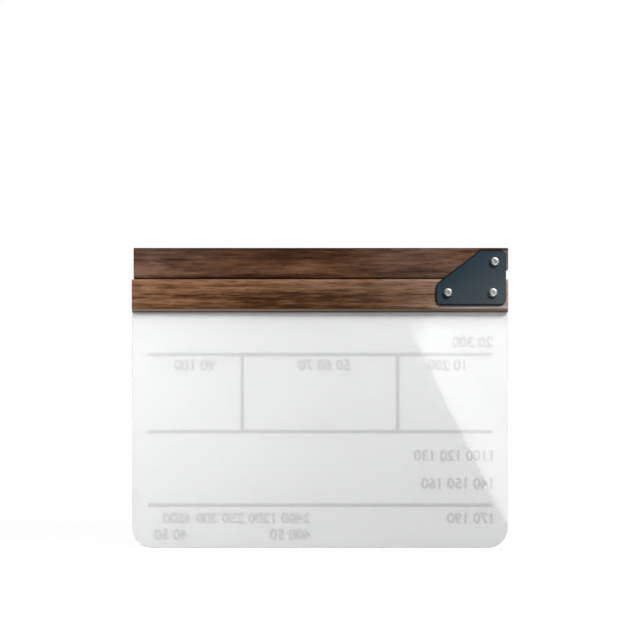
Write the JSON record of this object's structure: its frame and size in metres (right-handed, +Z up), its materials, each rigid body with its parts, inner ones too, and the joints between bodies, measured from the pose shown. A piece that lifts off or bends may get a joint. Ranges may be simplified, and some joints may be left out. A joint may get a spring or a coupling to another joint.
{
  "type": "clapperboard",
  "caption": "Film clapperboard: a milky acrylic slate hung from a walnut stick, with a walnut clapper that swings on a bolted black corner hinge.",
  "frame": {"origin": "middle of the slate's bottom edge, half way through its thickness", "axes": "+X towards the hinge end of the sticks, +Y towards the printed face, +Z up from the bottom edge to the clapper"},
  "size_m": [0.3, 0.0221, 0.2395],
  "materials": {
    "milky_acrylic": "milky translucent sheet, polished",
    "walnut_light": "oiled walnut, reddish brown",
    "walnut_dark": "oiled walnut, grey brown",
    "black_plate": "matt black powder coat",
    "bolt_steel": "polished steel",
    "bush_nylon": "natural nylon",
    "wood_screw_steel": "zinc-plated steel"
  },
  "bodies": {
    "slate": {"slate_board": "milky_acrylic", "lower_stick": "walnut_light", "hinge_plate_back": "black_plate", "hinge_plate_front": "black_plate", "pivot_post": "bolt_steel", "outer_post": "bolt_steel", "inner_post": "bolt_steel", "pivot_screw": "bolt_steel", "outer_screw": "bolt_steel", "inner_screw": "bolt_steel", "board_screw_left": "wood_screw_steel", "board_screw_middle": "wood_screw_steel"},
    "clapper": {"upper_stick": "walnut_dark", "pivot_bush_back": "bush_nylon", "pivot_bush_front": "bush_nylon"}
  },
  "joints": [
    {"name": "clapper_swing", "type": "hinge", "parent": "slate", "child": "clapper", "pos_m": [0.139, 0, 0.2285], "axis": [0, 1, 0], "range_deg": [0, 105]}
  ]
}
